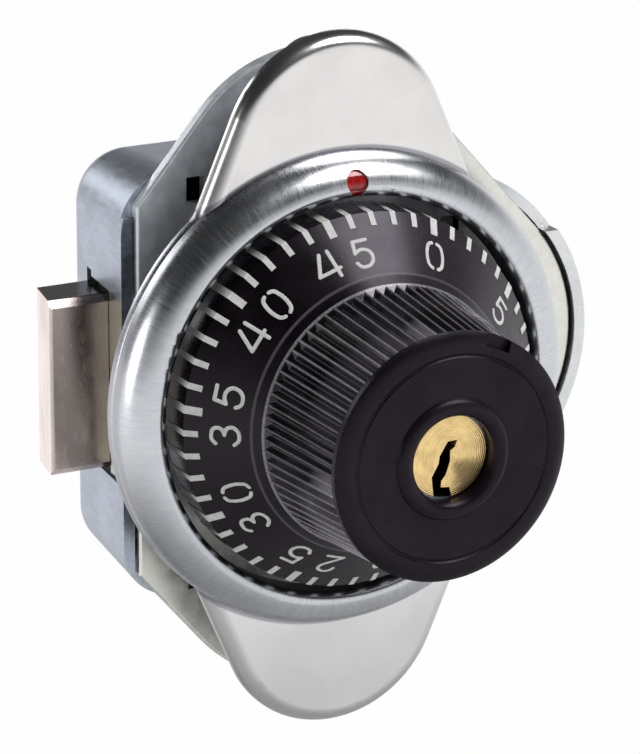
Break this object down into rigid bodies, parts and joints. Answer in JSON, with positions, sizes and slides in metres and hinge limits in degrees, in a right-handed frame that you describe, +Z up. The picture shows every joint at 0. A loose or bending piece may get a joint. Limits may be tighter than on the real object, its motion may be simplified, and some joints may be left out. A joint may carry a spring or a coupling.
{
  "type": "combination locker lock",
  "caption": "Built-in combination locker lock with satin chrome trim, black numbered dial, ribbed knob with key override, plated case and sliding spring bolt.",
  "frame": {"origin": "dial axis where it crosses the front face of the mounting plate, the face that lies on the inside of the door", "axes": "-Y is the front of the lock, along the dial axis; +Z is up; the bolt shoots to -X"},
  "size_m": [0.0723, 0.0582, 0.09],
  "materials": {
    "satin_chrome": "satin, finely brushed",
    "red_enamel": "gloss",
    "zinc_steel": "zinc plated",
    "plate_steel": "zinc plated, sheared edges",
    "brass_fitting": "turned",
    "case_zinc": "zinc plated, drawn",
    "guide_steel": "yellow-green passivated",
    "spring_steel": "bright drawn",
    "dial_plastic": "moulded, soft gloss",
    "white_paint": "paint filled",
    "knob_plastic": "gloss black",
    "cap_plastic": "satin plum-black",
    "plug_brass": "milled",
    "bolt_nickel": "nickel plated casting"
  },
  "bodies": {
    "lock_body": {"mounting_plate": "plate_steel", "trim_plate": "satin_chrome", "index_marker": "red_enamel", "trim_posts": "zinc_steel", "mounting_screws": "zinc_steel", "spindle_bush": "brass_fitting", "case": "case_zinc", "bolt_guide": "guide_steel", "bolt_spring": "spring_steel", "spring_seat": "zinc_steel", "wheel_post": "zinc_steel", "wheel_spacers": "zinc_steel"},
    "knob_unit": {"dial": "dial_plastic", "dial_strokes": "white_paint", "knob": "knob_plastic", "knob_cap": "cap_plastic", "cylinder_sleeve": "case_zinc", "driver_pins": "brass_fitting", "pin_springs": "spring_steel", "spindle": "zinc_steel", "retaining_clip": "spring_steel", "drive_cam": "case_zinc"},
    "plug_unit": {"key_plug": "plug_brass", "key_pins": "brass_fitting", "tailpiece": "zinc_steel"},
    "override": {"override_pin": "zinc_steel"},
    "wheel_one": {"wheel_1": "brass_fitting"},
    "wheel_two": {"wheel_2": "brass_fitting"},
    "wheel_three": {"wheel_3": "brass_fitting"},
    "bolt_unit": {"latch_bolt": "bolt_nickel", "lever_clip": "spring_steel", "lever_spring": "spring_steel"},
    "lever": {"fence_lever": "zinc_steel"}
  },
  "joints": [
    {"name": "knob_turn", "type": "hinge", "parent": "lock_body", "child": "knob_unit", "pos_m": [0, 0, 0], "axis": [0, 1, 0], "continuous": true},
    {"name": "key_turn", "type": "hinge", "parent": "knob_unit", "child": "plug_unit", "pos_m": [0, -0.03, 0], "axis": [0, 1, 0], "range_deg": [0, 90]},
    {"name": "override_slide", "type": "slide", "parent": "knob_unit", "child": "override", "axis": [-0.4092, 0, -0.9124], "range_m": [0, 0.001]},
    {"name": "wheel_one_turn", "type": "hinge", "parent": "lock_body", "child": "wheel_one", "pos_m": [0, 0.01245, 0], "axis": [0, 1, 0], "continuous": true},
    {"name": "wheel_two_turn", "type": "hinge", "parent": "lock_body", "child": "wheel_two", "pos_m": [0, 0.01475, 0], "axis": [0, 1, 0], "continuous": true},
    {"name": "wheel_three_turn", "type": "hinge", "parent": "lock_body", "child": "wheel_three", "pos_m": [0, 0.01705, 0], "axis": [0, 1, 0], "continuous": true},
    {"name": "bolt_slide", "type": "slide", "parent": "lock_body", "child": "bolt_unit", "axis": [1, 0, 0], "range_m": [0, 0.0075], "deforming": ["bolt_spring"]},
    {"name": "lever_swing", "type": "hinge", "parent": "bolt_unit", "child": "lever", "pos_m": [0.0155, 0.0099, 0.0115], "axis": [0, -1, 0], "range_deg": [0, 12]}
  ],
  "couplings": [
    {"joint": "override_slide", "follows": "key_turn", "m_per_rad": 0.00063662}
  ]
}
